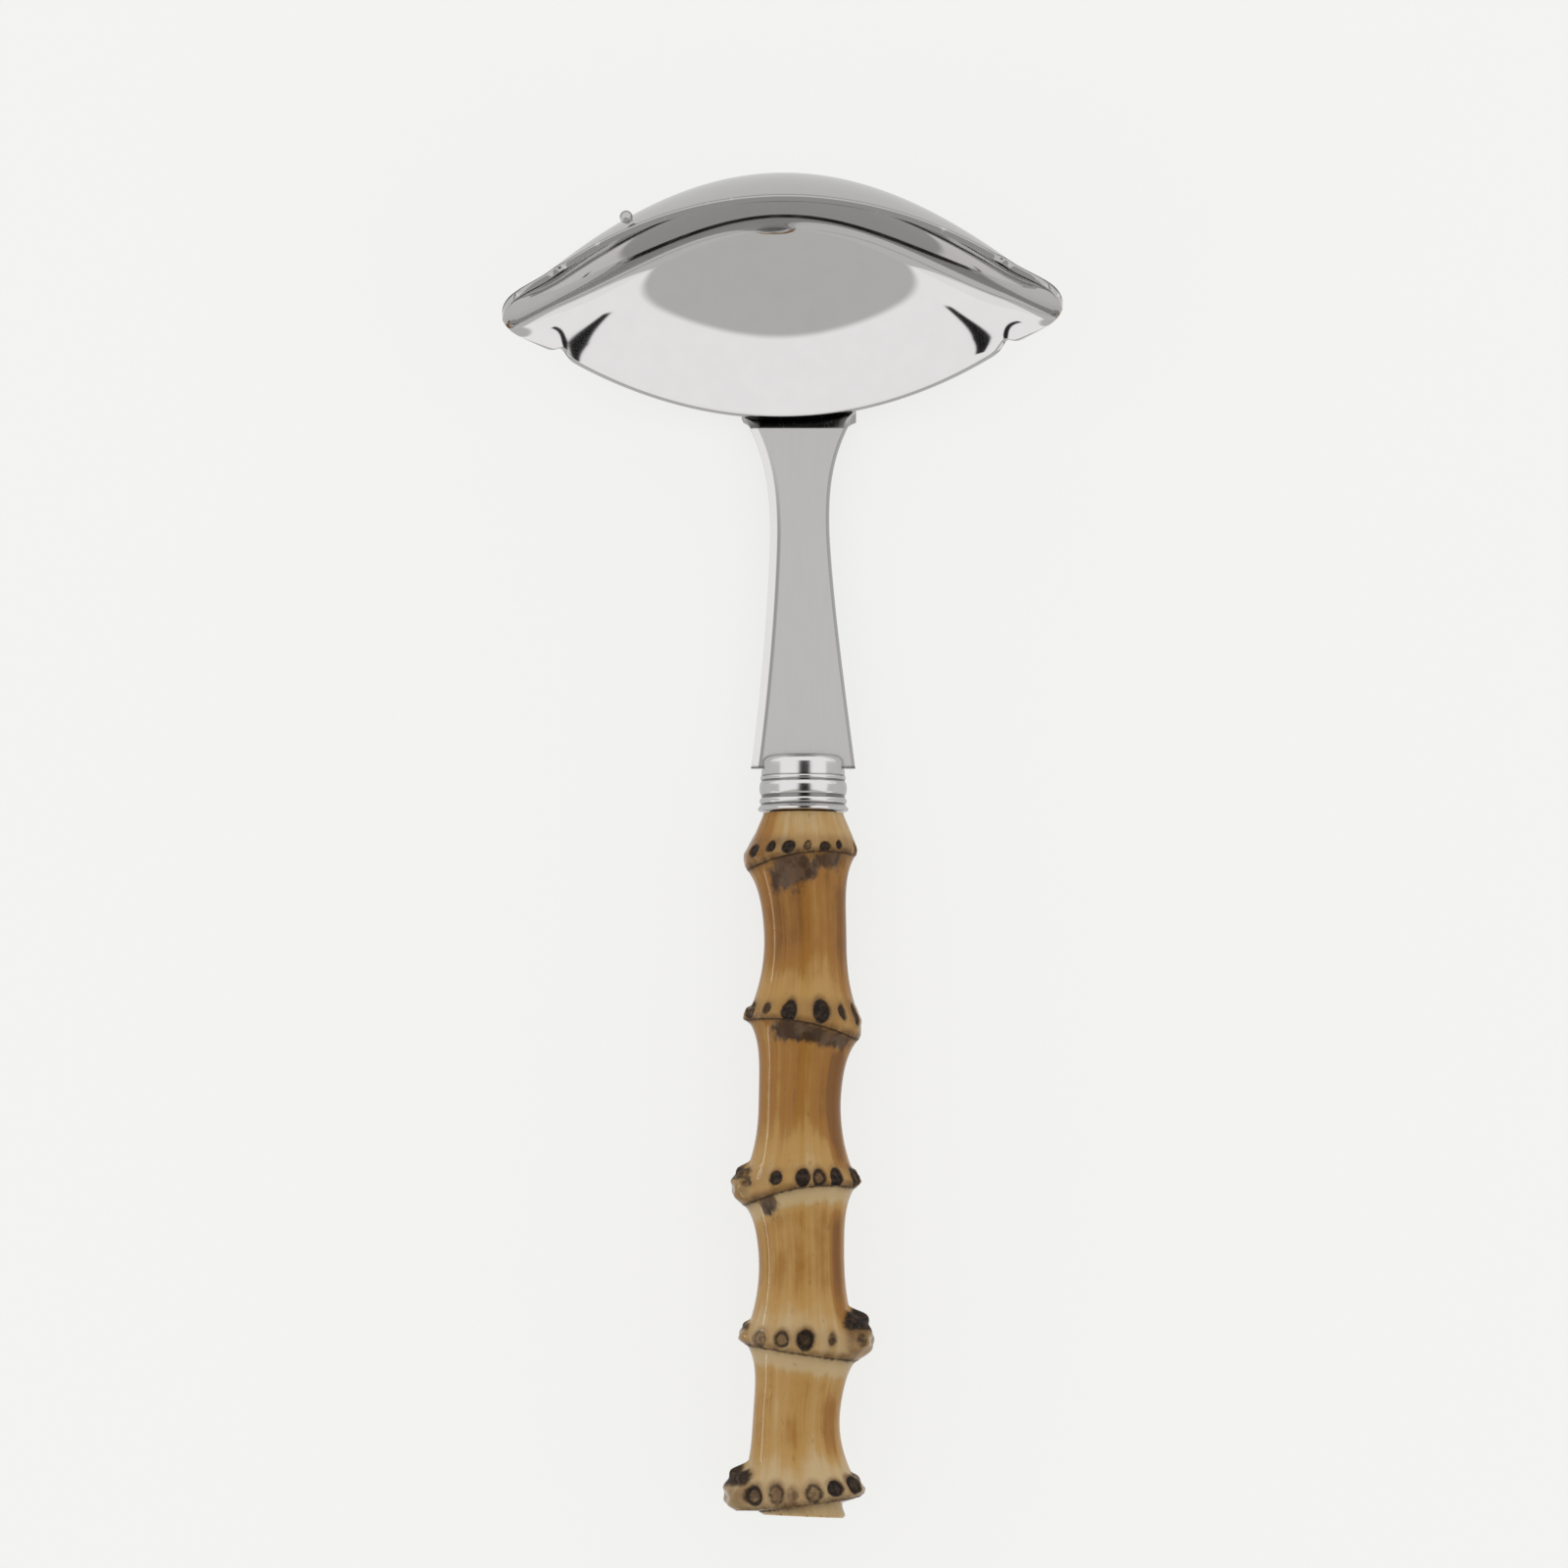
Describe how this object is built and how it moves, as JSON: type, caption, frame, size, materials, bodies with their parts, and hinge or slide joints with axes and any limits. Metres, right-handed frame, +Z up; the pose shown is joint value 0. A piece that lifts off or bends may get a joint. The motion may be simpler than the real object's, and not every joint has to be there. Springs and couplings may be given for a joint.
{
  "type": "gravy ladle",
  "caption": "Gravy ladle: an oval steel bowl with a pouring lip at each end, set across a flat steel neck, on a lacquered bamboo-root handle with a beaded ferrule.",
  "frame": {"origin": "on the surface that the ladle lies on, under the middle of its box", "axes": "+Y from the butt of the handle to the bowl, +Z up out of the bowl's open side as it lies on its back, +X to the right seen from above with the bowl ahead"},
  "size_m": [0.0824, 0.1984, 0.0427],
  "materials": {
    "bowl_steel": "mirror polished stainless sheet",
    "neck_steel": "polished flat stainless blade",
    "ferrule_steel": "turned and polished stainless collar",
    "lacquered_bamboo": "golden bamboo root under clear lacquer, dark root scars at each node",
    "resin": "amber cement, hidden",
    "stud_steel": "bright polished ball"
  },
  "bodies": {
    "root": {"bowl": "bowl_steel", "neck": "neck_steel", "ferrule": "ferrule_steel", "handle": "lacquered_bamboo", "tang_resin": "resin", "back_stud": "stud_steel"}
  },
  "joints": []
}
